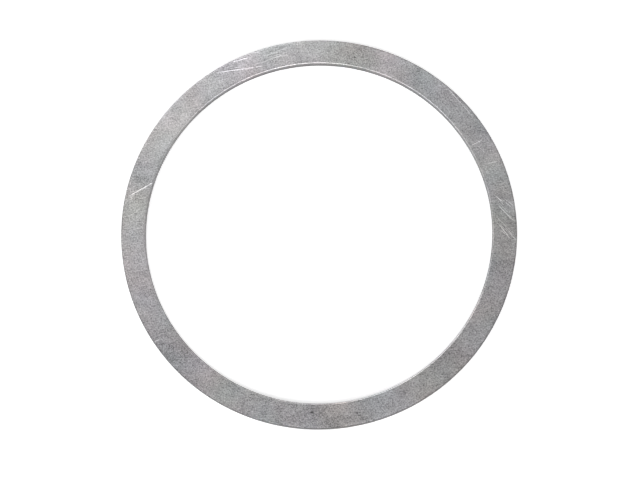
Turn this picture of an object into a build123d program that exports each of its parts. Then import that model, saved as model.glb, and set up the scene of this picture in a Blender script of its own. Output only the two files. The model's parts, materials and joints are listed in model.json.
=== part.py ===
"""Shim ring: a thin flat ring blanked from sheet steel and tumbled.

It is one piece. The frame's origin is the centre of the bore on the lower face, with +Z up
through the bore. The bore's rounded die roll is on top, and the rim's is below.
All sizes are in millimetres.
"""

import os

from build123d import *

# The sizes that such a ring is ordered by. The rim follows the bore.
bore_diameter = 70.0
band_width = 5.0
thickness = 2.0

# The bore's cut edge, from the top down: the sheet first draws down into a rounded die roll, then
# shears smooth, and at last tears. The share is of the height below the die roll.
roll_depth = 0.20
roll_width = 0.25
land_share = 0.45
tear_setback = 0.08
burr_radius = 0.06

bore_radius = bore_diameter / 2
mid_band_radius = bore_radius + band_width / 2
section_middle = Axis((mid_band_radius, thickness / 2, 0), (0, 0, 1))
land_top = thickness - roll_depth
land_foot = land_top * (1 - land_share)

with BuildPart() as shim_ring:
    with BuildSketch(Plane.XZ):
        with BuildLine() as section:
            # One half of the section, from the middle of the lower face round the bore's edge
            # to the middle of the upper face.
            torn_zone = FilletPolyline(
                (mid_band_radius, 0),
                (bore_radius + tear_setback, 0),
                (bore_radius, land_foot),
                radius=burr_radius,
            )
            land = Line(torn_zone @ 1, (bore_radius, land_top))
            roll_start = (bore_radius + roll_width, thickness)
            die_roll = TangentArc(roll_start, land @ 1, tangent=(-1, 0))
            upper_face = Line(roll_start, (mid_band_radius, thickness))
            # The bore is punched down through the sheet first. The ring is then cut out of it,
            # down through the die, which rounds the rim's lower edge and leaves its burr on top.
            # So the rim's half is the bore's half, turned upside down.
            add(section.line.rotate(section_middle, 180))
        make_face()
    revolve(axis=Axis.Z)

shim_ring.part.label = "shim_ring"

os.makedirs("parts", exist_ok=True)
export_step(shim_ring.part, "parts/shim_ring.step")
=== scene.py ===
"""Looks of the shim ring: blanked and tumbled steel, lying on a white table.

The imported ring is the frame. A finer mesh of the same section stands for it, with the marks that
blanking, tumbling and handling leave: a wandering land, a torn zone, nicks, scratches and a matt
mottle. All lengths are in metres, and bearings and headings are in degrees, counter-clockwise
from +X as seen from above.
"""

import json
import logging
import math
import random
from dataclasses import dataclass, field
from enum import Enum

import bmesh
import bpy
from mathutils import Matrix, Vector, noise

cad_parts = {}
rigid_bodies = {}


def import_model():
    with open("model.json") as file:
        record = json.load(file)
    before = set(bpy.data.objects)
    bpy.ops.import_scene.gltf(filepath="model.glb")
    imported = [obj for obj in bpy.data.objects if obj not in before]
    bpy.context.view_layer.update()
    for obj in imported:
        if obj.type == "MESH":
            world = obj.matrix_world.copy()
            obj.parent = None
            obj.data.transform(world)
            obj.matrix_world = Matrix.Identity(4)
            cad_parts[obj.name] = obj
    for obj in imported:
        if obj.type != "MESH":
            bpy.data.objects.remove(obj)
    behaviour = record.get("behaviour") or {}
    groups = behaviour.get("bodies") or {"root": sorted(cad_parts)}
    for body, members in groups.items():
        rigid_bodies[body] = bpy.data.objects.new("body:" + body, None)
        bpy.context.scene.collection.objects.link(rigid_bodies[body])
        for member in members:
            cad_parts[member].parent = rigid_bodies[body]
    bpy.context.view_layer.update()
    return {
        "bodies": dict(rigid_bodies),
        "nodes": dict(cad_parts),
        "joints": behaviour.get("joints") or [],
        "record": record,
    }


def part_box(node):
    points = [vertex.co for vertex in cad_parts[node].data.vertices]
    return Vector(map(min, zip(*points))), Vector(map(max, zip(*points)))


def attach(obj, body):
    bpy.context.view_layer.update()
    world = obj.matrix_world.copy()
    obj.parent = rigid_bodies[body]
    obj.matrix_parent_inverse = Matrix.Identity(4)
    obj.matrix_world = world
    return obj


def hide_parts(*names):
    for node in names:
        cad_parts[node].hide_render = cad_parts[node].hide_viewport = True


MM = 0.001
SNAP = 0.00001 * MM  # how near a point counts as on a cutting plane
WELD = 0.0001 * MM  # how near two points count as one
SLIVER = 0.0005 * MM  # how thin a face counts as none
NODE = "shim_ring"
LOG = logging.getLogger(NODE)


class Zone(Enum):
    """The zones of the section, each with its own finish. The value names the zone's mask."""

    FACE = "face"
    BURR = "burr"
    TORN = "torn"
    LAND = "land"
    ROLL = "roll"


class Mark(Enum):
    """What else is written on the mesh's points. The value names the attribute."""

    GROOVE = "groove"
    # carries painted shade on the edges and the roll's steep foot, and the patches' tone
    SHADE = "shade"
    ALONG = "along"


def compass(bearing: float) -> Vector:
    """Returns the level unit vector that points along a bearing in degrees."""
    angle = math.radians(bearing)
    return Vector((math.cos(angle), math.sin(angle), 0))


@dataclass
class CutSection:
    """The ring's section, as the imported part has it."""

    bore_radius: float
    rim_radius: float
    thickness: float
    land_foot: float
    land_top: float
    roll_width: float = 0.25 * MM
    tear_setback: float = 0.08 * MM
    burr_radius: float = 0.06 * MM

    @property
    def mid_radius(self) -> float:
        """Radius of the middle of the band."""
        return (self.bore_radius + self.rim_radius) / 2

    @classmethod
    def from_frame(cls, frame: dict) -> "CutSection":
        """Reads the section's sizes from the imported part.


        Returns:
            The section, with its land where the bore mount says it is.
        """
        mounts = {mount["name"]: mount for mount in frame["record"]["mounts"]}
        bore, rim = mounts["bore"], mounts["rim"]
        half_land = bore["dims"]["length_mm"] * MM / 2
        middle = bore["pos_m"][2]
        low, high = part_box(NODE)
        return cls(
            bore_radius=bore["dims"]["r_mm"] * MM,
            rim_radius=rim["dims"]["r_mm"] * MM,
            thickness=high.z - low.z,
            land_foot=middle - half_land,
            land_top=middle + half_land,
        )


class SectionPen:
    """Draws a chain of edges in the XZ plane with bmesh operators, and marks its zones."""

    def __init__(self, bm: bmesh.types.BMesh, start: Vector) -> None:
        """Puts the pen down on the face zone.

        Args:
            bm: the mesh to draw in.
            start: the chain's first point.
        """
        self.bm = bm
        self.masks = {zone: bm.verts.layers.float.new(zone.value) for zone in Zone}
        self.along = bm.verts.layers.float.new(Mark.ALONG.value)
        self.length = 0.0
        self.tip = bm.verts.new(start)
        self.tip[self.masks[Zone.FACE]] = 1.0

    def step(self, zone: Zone, **move: object) -> None:
        """Draws one edge.

        Args:
            zone: the zone of the edge's far point.
            move: the translation, or the rotation and its centre, that takes the pen there.
        """
        made = bmesh.ops.extrude_vert_indiv(self.bm, verts=[self.tip])["verts"]
        operator = bmesh.ops.rotate if "matrix" in move else bmesh.ops.translate
        operator(self.bm, verts=made, **move)
        self.length += (made[0].co - self.tip.co).length
        self.tip = made[0]
        self.tip[self.along] = self.length
        for other, mask in self.masks.items():
            self.tip[mask] = float(other is zone)

    def line(self, radius: float, height: float, rows: int, zone: Zone) -> None:
        """Draws a straight run of equal rows.

        Args:
            radius: where the run ends along X.
            height: where the run ends along Z.
            rows: how many edges the run has.
            zone: the zone that the run belongs to.
        """
        edge = (Vector((radius, 0, height)) - self.tip.co) / rows
        for _ in range(rows):
            self.step(zone, vec=edge)

    def arc(self, centre: Vector, angle: float, rows: int, zone: Zone, last: Zone) -> None:
        """Draws an arc about a centre.

        Args:
            centre: the arc's centre.
            angle: the turn in radians, clockwise as seen with X to the right and Z up.
            rows: how many edges the arc has.
            zone: the zone that the arc belongs to.
            last: the zone of the arc's last point, where it meets the next run.
        """
        turn = Matrix.Rotation(angle / rows, 3, "Y")
        for row in range(rows):
            self.step(last if row == rows - 1 else zone, cent=centre, matrix=turn)


@dataclass(frozen=True)
class Scratch:
    """One straight scratch in the upper face, a shallow groove with tapered ends.

    The bearing and the radius give its middle on the ring, and the heading its direction.
    """

    bearing: float
    radius: float
    heading: float
    length: float
    width: float
    depth: float
    shine: float = 1.0
    reach: float = 0.5 * MM
    skin: float = 0.05 * MM
    taper_power: int = 4

    def carve(self, bm: bmesh.types.BMesh, height: float) -> None:
        """Cuts the groove.

        Args:
            bm: the ring's mesh.
            height: the height of the upper face.
        """
        middle = compass(self.bearing) * self.radius + Vector((0, 0, height))
        along = compass(self.heading)
        across = Vector((-along.y, along.x, 0))
        half_length, half_width = self.length / 2, self.width / 2

        def place(point: Vector) -> tuple[float, float]:
            """Returns how far a point lies along and across the groove."""
            return abs((point - middle).dot(along)), abs((point - middle).dot(across))

        geom = set()
        for face in bm.faces:
            centre = face.calc_center_median()
            run, side = place(centre)
            if centre.z > height - self.skin and run < half_length and side < self.reach:
                geom.update((face, *face.edges, *face.verts))
        geom = list(geom)
        for offset in (-half_width, 0, half_width):
            centre_line = middle + across * offset
            geom = bmesh.ops.bisect_plane(
                bm, geom=geom, dist=SNAP, plane_co=centre_line, plane_no=across
            )["geom"]
        groove = bm.verts.layers.float[Mark.GROOVE.value]
        for vert in (item for item in geom if isinstance(item, bmesh.types.BMVert)):
            run, side = place(vert.co)
            inside = 1 - side / half_width
            if run < half_length and inside > 0:
                taper = 1 - (run / half_length) ** self.taper_power
                vert.co.z -= self.depth * taper * inside
                vert[groove] = max(vert[groove], self.shine * taper * inside)


@dataclass(frozen=True)
class Rub:
    """A family of fine, nearly parallel scratches that one rub left in the upper face."""

    bearing: float
    spread: float
    heading: float
    count: int
    shine: tuple[float, float]
    insets: tuple[float, float]
    fan: float = 5.0
    lengths: tuple[float, float] = (1.5 * MM, 5.0 * MM)
    widths: tuple[float, float] = (0.09 * MM, 0.15 * MM)
    depths: tuple[float, float] = (0.006 * MM, 0.016 * MM)

    def scatter(self, dice: random.Random, middle: float) -> list[Scratch]:
        """Strews the family's scratches.

        Args:
            dice: the source of chance.
            middle: radius of the middle of the band, which the insets are taken from.

        Returns:
            The scratches.
        """
        return [
            Scratch(
                bearing=self.bearing + dice.uniform(-self.spread, self.spread),
                radius=middle + dice.uniform(*self.insets),
                heading=self.heading + dice.gauss(0, self.fan),
                length=dice.uniform(*self.lengths),
                width=dice.uniform(*self.widths),
                depth=dice.uniform(*self.depths),
                shine=dice.uniform(*self.shine),
            )
            for _ in range(self.count)
        ]


@dataclass(frozen=True)
class Patch:
    """A stretch of the band that is a little darker or paler than the rest."""

    bearing: float
    spread: float
    share: float

    def at(self, bearing: float) -> float:
        """Returns what the patch adds to the tone at a bearing, as a share."""
        apart = (bearing - self.bearing + 180) % 360 - 180
        return self.share * math.exp(-((apart / self.spread) ** 2))


@dataclass
class ShimRing:
    """The ring: a section spun round the bore's axis, then worn and scratched."""

    section: CutSection
    name: str = "ring"
    steps: int = 896
    strips: int = 4
    face_rows: int = 7
    burr_rows: int = 3
    torn_rows: int = 12
    land_rows: int = 6
    roll_rows: int = 8
    land_wander: float = 0.09 * MM
    wander_size: float = 2.4 * MM
    wander_layers: tuple[float, float, int] = (0.7, 2.0, 3)
    tear_grain: float = 0.035 * MM
    tear_size: float = 0.28 * MM
    tear_onset: float = 4.0
    nick_count: int = 22
    nick_width: float = 0.45 * MM
    nick_depth: float = 0.05 * MM
    nick_widths: tuple[float, float] = (0.6, 1.6)
    nick_depths: tuple[float, float] = (0.4, 1.0)
    # painted shade: darkens the burr's corner into the dark line along the edges
    edge_shade: float = -0.72
    # painted shade on the face's narrow band beside the burr, which widens the dark edge line
    painted_band_shade: float = -0.16
    painted_band_width: float = 0.20 * MM
    bake_margin: float = 0.02
    # painted shade: darkens the roll's steep foot into a dark line at the bore's edge
    roll_shade: float = -0.95
    rubs: tuple[Rub, ...] = (
        Rub(4.5, 6, -44, 20, (0.35, 1.0), (-1.0 * MM, 1.7 * MM)),
        Rub(108, 12, 13, 13, (0.12, 0.35), (-0.6 * MM, 2.1 * MM)),
        Rub(168, 14, 27, 9, (0.10, 0.25), (-1.6 * MM, 1.8 * MM)),
        Rub(40, 14, -50, 8, (0.10, 0.25), (-1.6 * MM, 1.8 * MM)),
    )
    seed: int = 7
    girth: float = field(init=False, default=0.0)

    def draw_half_section(self, bm: bmesh.types.BMesh) -> None:
        """Draws the bore's half of the section, from the lower mid-band to the upper.

        Args:
            bm: the mesh to draw in.
        """
        cut = self.section
        slope = Vector((-cut.tear_setback, 0, cut.land_foot)).normalized()
        corner_turn = math.pi - math.acos(-slope.x)
        reach = cut.burr_radius * math.tan(corner_turn / 2)
        foot = cut.bore_radius + cut.tear_setback + reach
        pen = SectionPen(bm, Vector((cut.mid_radius, 0, 0)))
        pen.line(foot, 0, self.face_rows, Zone.FACE)
        burr_centre = Vector((foot, 0, cut.burr_radius))
        pen.arc(burr_centre, corner_turn, self.burr_rows, Zone.BURR, Zone.TORN)
        pen.line(cut.bore_radius, cut.land_foot, self.torn_rows, Zone.TORN)
        pen.line(cut.bore_radius, cut.land_top, self.land_rows, Zone.LAND)
        roll_depth = cut.thickness - cut.land_top
        radius = (cut.roll_width**2 + roll_depth**2) / (2 * roll_depth)
        roll_centre = Vector((cut.bore_radius + cut.roll_width, 0, cut.thickness - radius))
        roll_turn = math.asin(cut.roll_width / radius)
        pen.arc(roll_centre, roll_turn, self.roll_rows, Zone.ROLL, Zone.FACE)
        pen.line(cut.mid_radius, cut.thickness, self.face_rows, Zone.FACE)
        self.girth = 2 * pen.length

    def turn_half(self, bm: bmesh.types.BMesh) -> None:
        """Adds the rim's half of the section, the bore's half turned upside down.

        Args:
            bm: the mesh that holds the bore's half.
        """
        made = bmesh.ops.duplicate(bm, geom=bm.verts[:] + bm.edges[:])["geom"]
        verts = [item for item in made if isinstance(item, bmesh.types.BMVert)]
        middle = Vector((self.section.mid_radius, 0, self.section.thickness / 2))
        bmesh.ops.rotate(bm, verts=verts, cent=middle, matrix=Matrix.Rotation(math.pi, 3, "Y"))
        along = bm.verts.layers.float[Mark.ALONG.value]
        for vert in verts:
            vert[along] += self.girth / 2

    def spin(self, bm: bmesh.types.BMesh) -> None:
        """Spins the whole section into a closed ring.

        Args:
            bm: the mesh that holds the section.
        """
        bmesh.ops.remove_doubles(bm, verts=bm.verts[:], dist=WELD)
        bmesh.ops.spin(
            bm,
            geom=bm.verts[:] + bm.edges[:],
            cent=(0, 0, 0),
            axis=(0, 0, 1),
            angle=math.tau,
            steps=self.steps,
            use_merge=True,
        )
        bmesh.ops.remove_doubles(bm, verts=bm.verts[:], dist=WELD)
        bmesh.ops.recalc_face_normals(bm, faces=bm.faces[:])

    def tear(self, bm: bmesh.types.BMesh) -> None:
        """Lets the land's foot wander, and roughens the torn zone below it.

        Args:
            bm: the ring's mesh.
        """
        cut = self.section
        torn = bm.verts.layers.float[Zone.TORN.value]
        land = bm.verts.layers.float[Zone.LAND.value]
        for vert in bm.verts:
            if vert[torn] + vert[land] == 0:
                continue
            level = Vector((vert.co.x, vert.co.y, 0))
            is_bore = level.length < cut.mid_radius
            height = vert.co.z if is_bore else cut.thickness - vert.co.z
            below = height / cut.land_foot
            above = (cut.land_top - height) / (cut.land_top - cut.land_foot)
            wander = noise.fractal(level / self.wander_size, *self.wander_layers)
            grain = 0.5 + 0.5 * noise.noise(vert.co / self.tear_size)
            deep = min(1.0, max(0.0, self.tear_onset * (1 - below)))
            inward = level.normalized() * (1 if is_bore else -1)
            vert.co.z += self.land_wander * wander * max(0.0, min(below, above))
            vert.co += inward * self.tear_grain * grain * deep * vert[torn]

    def knock(self, bm: bmesh.types.BMesh) -> None:
        """Dents the upper edges where the ring knocked against others in the drum.

        Args:
            bm: the ring's mesh.
        """
        cut = self.section
        dice = random.Random(self.seed)
        layers = [bm.verts.layers.float[zone.value] for zone in (Zone.ROLL, Zone.BURR)]
        high = [vert for vert in bm.verts if vert.co.z > cut.thickness / 2]
        edge = [vert for vert in high if any(vert[layer] for layer in layers)]
        for _ in range(self.nick_count):
            bearing = dice.uniform(0, 360)
            middle = compass(bearing) * dice.choice((cut.bore_radius, cut.rim_radius))
            middle.z = cut.thickness
            width = self.nick_width * dice.uniform(*self.nick_widths)
            depth = self.nick_depth * dice.uniform(*self.nick_depths)
            core = compass(bearing) * cut.mid_radius
            for vert in edge:
                apart = (vert.co - middle).length / width
                if apart < 1:
                    vert.co += (core - vert.co).normalized() * depth * (1 - apart**2) ** 2

    def shade(self, bm: bmesh.types.BMesh, patches: tuple[Patch, ...]) -> None:
        """Writes the patches' tone, and painted shade on the burr's edge, the face beside it and
        the roll's steep foot, on the points.

        Args:
            bm: the ring's mesh.
            patches: the stretches that differ from the rest.
        """
        layer = bm.verts.layers.float[Mark.SHADE.value]
        zones = (Zone.FACE, Zone.BURR, Zone.ROLL)
        face, burr, roll = (bm.verts.layers.float[zone.value] for zone in zones)
        cut = self.section
        roll_depth = cut.thickness - cut.land_top
        for vert in bm.verts:
            bearing = math.degrees(math.atan2(vert.co.y, vert.co.x))
            below = max(0.0, min(vert.co.z, cut.thickness - vert.co.z) / roll_depth)
            # painted shade: the burr's corner and the roll's steep foot are made darker
            edge = self.edge_shade * vert[burr] + self.roll_shade * vert[roll] * below**0.5
            reach = Vector((vert.co.x, vert.co.y)).length
            inset = min(reach - cut.bore_radius, cut.rim_radius - reach)
            # painted shade on the face's band beside the burr
            if vert[face] and inset < self.painted_band_width:
                edge += self.painted_band_shade
            vert[layer] = edge + sum(patch.at(bearing) for patch in patches)

    def scratches(self) -> list[Scratch]:
        """Returns the scratches in the upper face: single ones, and those of the rubs."""
        middle = self.section.mid_radius
        single = [
            Scratch(166.3, middle - 0.4 * MM, 30, 5.8 * MM, 0.20 * MM, 0.028 * MM),
            Scratch(116.8, middle + 0.35 * MM, 8, 8.1 * MM, 0.19 * MM, 0.028 * MM),
            Scratch(109.7, middle - 0.9 * MM, 9, 1.5 * MM, 0.14 * MM, 0.012 * MM),
            Scratch(114.0, middle + 1.85 * MM, 15, 3.4 * MM, 0.18 * MM, 0.018 * MM),
            Scratch(109.1, middle + 2.15 * MM, 10, 2.0 * MM, 0.14 * MM, 0.010 * MM),
            Scratch(29.3, middle - 0.7 * MM, 28, 2.4 * MM, 0.16 * MM, 0.015 * MM),
            Scratch(21.5, middle + 0.35 * MM, 12, 2.0 * MM, 0.16 * MM, 0.015 * MM),
            Scratch(42.4, middle + 1.7 * MM, -50, 8.0 * MM, 0.12 * MM, 0.005 * MM),
            Scratch(214.6, middle + 1.6 * MM, 26, 1.2 * MM, 0.14 * MM, 0.010 * MM),
        ]
        dice = random.Random(self.seed)
        for rub in self.rubs:
            single += rub.scatter(dice, middle)
        return single

    def unwrap(self, bm: bmesh.types.BMesh) -> None:
        """Lays the skin out flat in a square of strips, one for each stretch of the band.

        Args:
            bm: the ring's mesh.
        """
        layer = bm.loops.layers.uv.new("OFBake")
        along = bm.verts.layers.float[Mark.ALONG.value]
        span = math.tau / self.strips**2
        margin = self.bake_margin
        inner = 1 - 2 * margin
        for face in bm.faces:
            centre = face.calc_center_median()
            strip = int(math.atan2(centre.y, centre.x) % math.tau / span)
            closes = max(loop.vert[along] for loop in face.loops) > self.girth * 0.75
            for loop in face.loops:
                bearing = math.atan2(loop.vert.co.y, loop.vert.co.x) - strip * span
                right = ((bearing + math.pi) % math.tau - math.pi) / span
                up = loop.vert[along] / self.girth
                if closes and up < 0.25:  # the last row ends where the girth began
                    up += 1
                column, row = strip % self.strips, strip // self.strips
                loop[layer].uv = (
                    (column + margin + right * inner) / self.strips,
                    (row + margin + up * inner) / self.strips,
                )

    def build(self, patches: tuple[Patch, ...]) -> bpy.types.Object:
        """Makes the ring's mesh.

        Args:
            patches: the stretches of the band whose tone differs.

        Returns:
            The piece, at the origin.
        """
        bm = bmesh.new()
        for mark in (Mark.GROOVE, Mark.SHADE):
            bm.verts.layers.float.new(mark.value)
        self.draw_half_section(bm)
        self.turn_half(bm)
        self.spin(bm)
        self.tear(bm)
        self.knock(bm)
        for scratch in self.scratches():
            scratch.carve(bm, self.section.thickness)
        bmesh.ops.dissolve_degenerate(bm, dist=SLIVER, edges=bm.edges[:])
        bmesh.ops.recalc_face_normals(bm, faces=bm.faces[:])
        self.shade(bm, patches)
        self.unwrap(bm)
        mesh = bpy.data.meshes.new(self.name)
        bm.to_mesh(mesh)
        bm.free()
        mesh.shade_smooth()
        piece = bpy.data.objects.new(self.name, mesh)
        bpy.context.scene.collection.objects.link(piece)
        return piece

    def dress(self, piece: bpy.types.Object, finish: "TumbledSteel") -> None:
        """Gives the ring its finish."""
        piece.data.materials.append(finish.build())


class Nodes:
    """Builds a node tree from formulas, so that a finish reads like its recipe."""

    def __init__(self, tree: bpy.types.NodeTree) -> None:
        """Starts with an empty tree.

        Args:
            tree: the material's or the world's node tree.
        """
        self.tree = tree
        self.tree.nodes.clear()

    def add(self, kind: str, inputs: dict | None = None, **settings: object) -> bpy.types.Node:
        """Adds a node.

        Args:
            kind: the node's type, without its ShaderNode prefix.
            inputs: what its sockets get, each a plain value or another node's output.
            settings: properties to set on it.

        Returns:
            The node.
        """
        node = self.tree.nodes.new("ShaderNode" + kind)
        for key, value in settings.items():
            setattr(node, key, value)
        for key, value in (inputs or {}).items():
            if isinstance(value, bpy.types.NodeSocket):
                self.tree.links.new(value, node.inputs[key])
            else:
                node.inputs[key].default_value = value
        return node

    def math(self, operation: str, *values: object, clamp: bool = False) -> bpy.types.NodeSocket:
        """Adds a Math node and returns its output."""
        inputs = dict(enumerate(values))
        return self.add("Math", inputs, operation=operation, use_clamp=clamp).outputs[0]

    def vector(self, operation: str, *values: object) -> bpy.types.NodeSocket:
        """Adds a Vector Math node and returns its vector output."""
        return self.add("VectorMath", dict(enumerate(values)), operation=operation).outputs[0]

    def mask(self, name: str) -> bpy.types.NodeSocket:
        """Returns a point attribute of the mesh as a number."""
        return self.add("Attribute", attribute_name=name).outputs["Fac"]

    def wobble(
        self, place: bpy.types.NodeSocket, size: float, detail: float = 1
    ) -> bpy.types.NodeSocket:
        """Returns noise about zero.

        Args:
            place: the coordinates to read.
            size: the size of its largest grains, in metres.
            detail: how many finer layers it has.
        """
        inputs = {"Vector": place, "Scale": 1 / size, "Detail": detail}
        grains = self.add("TexNoise", inputs).outputs["Fac"]
        return self.math("SUBTRACT", grains, 0.5)


@dataclass(frozen=True)
class ZoneFinish:
    """How one zone looks: its grey, its roughness and how much of the mottle it shows."""

    grey: float
    roughness: float
    mottle: float


@dataclass(frozen=True)
class Grain:
    """One size of mottle and how far it changes the tone."""

    size: float
    strength: float


@dataclass(frozen=True)
class Hairlines:
    """Fine parallel lines that the drum rubbed in, all at one heading."""

    heading: float
    size: float
    strength: float
    stretch: float = 0.07


@dataclass(frozen=True)
class TumbledSteel:
    """Sheet steel, blanked and tumbled: matt and mottled on its faces, burnished on its edges,
    with a painted highlight and painted shade in the edge zones' greys.
    """

    name: str = "tumbled_steel"
    face: ZoneFinish = ZoneFinish(0.41, 0.42, 1.0)
    # the burr's grey sits below the face's as painted shade, for the dark line along the edges
    burr: ZoneFinish = ZoneFinish(0.29, 0.55, 0.8)
    # the torn zone's dark grey is partly the dull fracture's own tone and partly painted shade on
    # the walls
    torn: ZoneFinish = ZoneFinish(0.17, 0.55, 0.8)
    land: ZoneFinish = ZoneFinish(0.36, 0.32, 0.4)
    # the roll's pale grey is partly burnished steel and partly a painted highlight, for the bright
    # line along the bore's far edge
    roll: ZoneFinish = ZoneFinish(0.88, 0.30, 0.4)
    fresh: ZoneFinish = ZoneFinish(0.84, 0.34, 0.15)
    grains: tuple[Grain, ...] = (
        Grain(0.28 * MM, 1.75),
        Grain(0.9 * MM, 0.20),
        Grain(2.4 * MM, 0.26),
        Grain(6.0 * MM, 0.50),
        Grain(16.0 * MM, 0.38),
    )
    hairlines: tuple[Hairlines, ...] = (
        Hairlines(12, 0.20 * MM, 0.48),
        Hairlines(-45, 0.20 * MM, 0.48),
    )
    pit_size: float = 1.3 * MM
    pit_level: float = 0.19
    pit_sharpness: float = 12.0
    pit_tone: float = -0.35
    groove_gain: float = 2.0
    tint_size: float = 9 * MM
    tint_shift: float = 0.3
    red: tuple[float, float] = (1.022, 0.24)
    blue: tuple[float, float] = (1.012, 0.16)
    edge_tint: float = 0.45
    uneven_polish: float = 0.12
    torn_metal: float = -0.8
    specular: float = 0.25
    streak_size: float = 0.15 * MM
    streak_stretch: float = 0.06
    crumb_size: float = 0.12 * MM
    crumb_height: float = 2.5
    dent_size: float = 0.4 * MM
    bump_height: float = 0.012 * MM

    def zone_values(self, nodes: Nodes) -> bpy.types.NodeSocket:
        """Blends the zones' grey, roughness and mottle by the masks on the mesh.

        Args:
            nodes: the material's nodes.

        Returns:
            The three values as one vector.
        """
        total = None
        for zone in Zone:
            finish = getattr(self, zone.value)
            values = (finish.grey, finish.roughness, finish.mottle)
            part = nodes.add(
                "VectorMath",
                {0: values, "Scale": nodes.mask(zone.value)},
                operation="SCALE",
            ).outputs[0]
            total = part if total is None else nodes.vector("ADD", total, part)
        groove = nodes.math(
            "MULTIPLY", nodes.mask(Mark.GROOVE.value), self.groove_gain, clamp=True
        )
        fresh = (self.fresh.grey, self.fresh.roughness, self.fresh.mottle)
        mix = nodes.add("Mix", data_type="VECTOR")
        nodes.tree.links.new(groove, mix.inputs["Factor"])
        nodes.tree.links.new(total, mix.inputs[4])
        mix.inputs[5].default_value = fresh
        return mix.outputs[1]

    def build(self) -> bpy.types.Material:
        """Makes the material.

        Returns:
            The material, whose patterns follow Object coordinates and the mesh's attributes.
        """
        material = bpy.data.materials.new(self.name)
        material.use_nodes = True
        nodes = Nodes(material.node_tree)
        place = nodes.add("TexCoord").outputs["Object"]
        split = nodes.add("SeparateXYZ", {0: self.zone_values(nodes)})
        grey, roughness, share = split.outputs

        mottle = 0.0
        for grain in self.grains:
            wobble = nodes.wobble(place, grain.size)
            mottle = nodes.math("MULTIPLY_ADD", wobble, grain.strength, mottle)
        for lines in self.hairlines:
            turned = nodes.add(
                "VectorRotate",
                {"Vector": place, "Angle": -math.radians(lines.heading)},
                rotation_type="Z_AXIS",
            ).outputs[0]
            drawn_out = nodes.vector("MULTIPLY", turned, (lines.stretch, 1, 1))
            wobble = nodes.wobble(drawn_out, lines.size)
            mottle = nodes.math("MULTIPLY_ADD", wobble, lines.strength, mottle)
        above = nodes.math("SUBTRACT", nodes.wobble(place, self.pit_size, 2), self.pit_level)
        pits = nodes.math("MULTIPLY", above, self.pit_sharpness, clamp=True)
        mottle = nodes.math("MULTIPLY_ADD", pits, self.pit_tone, mottle)
        # the shade attribute: painted shade at the edges and the roll, and the patches' tone
        shade = nodes.math("ADD", nodes.mask(Mark.SHADE.value), 1.0)
        change = nodes.math("MULTIPLY_ADD", mottle, share, shade)
        tone = nodes.math("MULTIPLY", grey, change)

        tinted = {}
        tints = (("Red", self.red, 0.0), ("Blue", self.blue, self.tint_shift))
        for channel, (level, spread), shift in tints:
            moved = nodes.vector("ADD", place, (shift, shift, shift))
            ratio = nodes.math("MULTIPLY_ADD", nodes.wobble(moved, self.tint_size), spread, level)
            tinted[channel] = nodes.math("MULTIPLY", tone, ratio)
        colour = nodes.add("CombineColor", {**tinted, "Green": tone}).outputs[0]

        fine = nodes.wobble(place, self.grains[1].size, 3)
        polish = nodes.math("MULTIPLY_ADD", fine, self.uneven_polish, roughness)

        upright = nodes.vector("MULTIPLY", place, (1, 1, self.streak_stretch))
        land, torn = nodes.mask(Zone.LAND.value), nodes.mask(Zone.TORN.value)
        streaks = nodes.math("MULTIPLY", nodes.wobble(upright, self.streak_size, 2), land)
        crumbs = nodes.math("MULTIPLY", nodes.wobble(place, self.crumb_size, 3), torn)
        dents = nodes.math("MULTIPLY_ADD", nodes.wobble(place, self.dent_size, 2), share, streaks)
        height = nodes.math("MULTIPLY_ADD", crumbs, self.crumb_height, dents)
        bump = nodes.add("Bump", {"Height": height, "Strength": 1.0, "Distance": self.bump_height})

        shader = nodes.add(
            "BsdfPrincipled",
            {
                "Metallic": nodes.math("MULTIPLY_ADD", torn, self.torn_metal, 1.0),
                "Specular IOR Level": self.specular,
                "Specular Tint": (self.edge_tint, self.edge_tint, self.edge_tint, 1),
                "Base Color": colour,
                "Roughness": polish,
                "Normal": bump.outputs[0],
            },
        )
        nodes.add("OutputMaterial", {"Surface": shader.outputs[0]})
        return material


@dataclass(frozen=True)
class WhiteTable:
    """A white table top that keeps the ring's shadow."""

    name: str = "white_table"
    white: float = 0.85
    lift: float = 0.46

    def build(self) -> bpy.types.Material:
        """Makes the material: plain white, with a lift for what the camera and metal see.

        Returns:
            The material.
        """
        material = bpy.data.materials.new(self.name)
        material.use_nodes = True
        nodes = Nodes(material.node_tree)
        path = nodes.add("LightPath").outputs
        seen = nodes.math("MAXIMUM", path["Is Camera Ray"], path["Is Glossy Ray"])
        seen = nodes.math("MAXIMUM", seen, path["Is Transmission Ray"])
        strength = nodes.math("MULTIPLY", seen, self.lift)
        glow = nodes.add("Emission", {"Strength": strength})
        diffuse = nodes.add("BsdfDiffuse", {"Color": (self.white, self.white, self.white, 1)})
        both = nodes.add("AddShader", {0: diffuse.outputs[0], 1: glow.outputs[0]})
        nodes.add("OutputMaterial", {"Surface": both.outputs[0]})
        return material


@dataclass(frozen=True)
class SoftPanel:
    """One soft lamp, a square panel that faces the ring."""

    name: str
    azimuth: float
    elevation: float
    distance: float
    size: float
    radiance: float

    def build(self) -> bpy.types.Object:
        """Hangs the panel.

        Returns:
            The lamp, whose face is as bright as its radiance says.
        """
        data = bpy.data.lights.new(self.name, "AREA")
        data.shape = "SQUARE"
        data.size = self.size
        data.energy = self.radiance * math.pi * self.size**2
        lamp = bpy.data.objects.new(self.name, data)
        elevation = math.radians(self.elevation)
        towards = compass(self.azimuth) * math.cos(elevation)
        towards.z = math.sin(elevation)
        lamp.location = towards * self.distance
        lamp.rotation_euler = towards.to_track_quat("Z", "Y").to_euler()
        bpy.context.scene.collection.objects.link(lamp)
        return lamp


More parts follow.
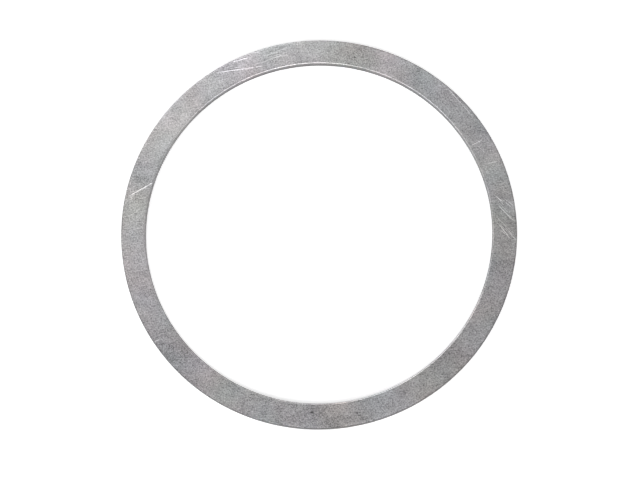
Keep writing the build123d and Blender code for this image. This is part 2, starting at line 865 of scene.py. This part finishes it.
@dataclass
class Studio:
    """The table, the lamps, the room and the camera."""

    section: CutSection
    room_level: float = 0.38
    horizon_top: float = 0.12
    horizon_fade: float = 0.28
    table_half: float = 2.0
    lean: float = math.radians(11.5)
    turn: float = math.radians(7.75)
    distance: float = 0.403
    rim_share: float = 0.6200
    aim_right: float = 0.30 * MM
    aim_near: float = 1.90 * MM
    sensor: float = 36.0
    panels: tuple[SoftPanel, ...] = (
        SoftPanel("key_panel", 268, 64, 0.7, 0.25, 5.0),
        SoftPanel("near_left_panel", 220, 42, 0.7, 0.35, 2.7),
        SoftPanel("near_panel", 270, 42, 0.7, 0.35, 0.3),
        SoftPanel("near_right_panel", 306, 42, 0.7, 0.35, 3.0),
        SoftPanel("far_left_panel", 114, 52, 0.7, 0.35, 3.0),
    )

    def lay_table(self) -> None:
        """Lays the table under the ring."""
        bm = bmesh.new()
        bmesh.ops.create_grid(bm, x_segments=1, y_segments=1, size=self.table_half)
        mesh = bpy.data.meshes.new("table")
        bm.to_mesh(mesh)
        bm.free()
        mesh.materials.append(WhiteTable().build())
        table = bpy.data.objects.new("table", mesh)
        bpy.context.scene.collection.objects.link(table)

    def light(self) -> None:
        """Fills the room with an even light, white along the horizon, and hangs the panels."""
        world = bpy.data.worlds.new("room")
        world.use_nodes = True
        bpy.context.scene.world = world
        nodes = Nodes(world.node_tree)
        heading = nodes.add("SeparateXYZ", {0: nodes.add("TexCoord").outputs["Generated"]})
        slope = nodes.math("ABSOLUTE", heading.outputs["Z"])
        band = {"Value": slope, "From Min": self.horizon_top, "From Max": self.horizon_fade}
        levels = {"To Min": 1.0, "To Max": self.room_level}
        fade = nodes.add("MapRange", {**band, **levels}, interpolation_type="SMOOTHSTEP")
        level = fade.outputs["Result"]
        back = nodes.add("Background", {"Color": (1, 1, 1, 1), "Strength": level})
        nodes.add("OutputWorld", {"Surface": back.outputs[0]})
        for panel in self.panels:
            panel.build()

    def set_camera(self) -> None:
        """Sets the camera above the ring's near side, looking down."""
        data = bpy.data.cameras.new("camera")
        data.sensor_width = self.sensor
        data.lens = self.sensor * self.rim_share * self.distance / (2 * self.section.rim_radius)
        data.clip_start = 0.01
        camera = bpy.data.objects.new("camera", data)
        away = Vector((math.sin(self.turn), -math.cos(self.turn), 0)) * math.sin(self.lean)
        away.z = math.cos(self.lean)
        right = Vector((0, 1, 0)).cross(away).normalized()
        up = away.cross(right)
        target = right * self.aim_right - up * self.aim_near
        target.z += self.section.thickness
        camera.location = target + away * self.distance
        camera.rotation_euler = Matrix((right, up, away)).transposed().to_euler()
        bpy.context.scene.collection.objects.link(camera)
        bpy.context.scene.camera = camera


def main() -> None:
    """Builds the ring and its studio."""
    logging.basicConfig(level=logging.INFO)
    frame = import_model()
    section = CutSection.from_frame(frame)
    shim_ring = ShimRing(section)
    patches = (
        Patch(105, 14, 0.04),
        Patch(217, 16, -0.08),
        Patch(254, 7, 0.03),
        Patch(270, 5, -0.10),
        Patch(295, 70, -0.09),
        Patch(15, 24, 0.10),
        Patch(150, 15, 0.07),
    )
    ring = shim_ring.build(patches)
    shim_ring.dress(ring, TumbledSteel())
    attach(ring, "root")
    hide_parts(NODE)
    LOG.info("%s: %d faces", ring.name, len(ring.data.polygons))
    studio = Studio(section)
    studio.lay_table()
    studio.light()
    studio.set_camera()
    bpy.context.scene.view_settings.view_transform = "Standard"


if __name__ == "__main__":
    main()
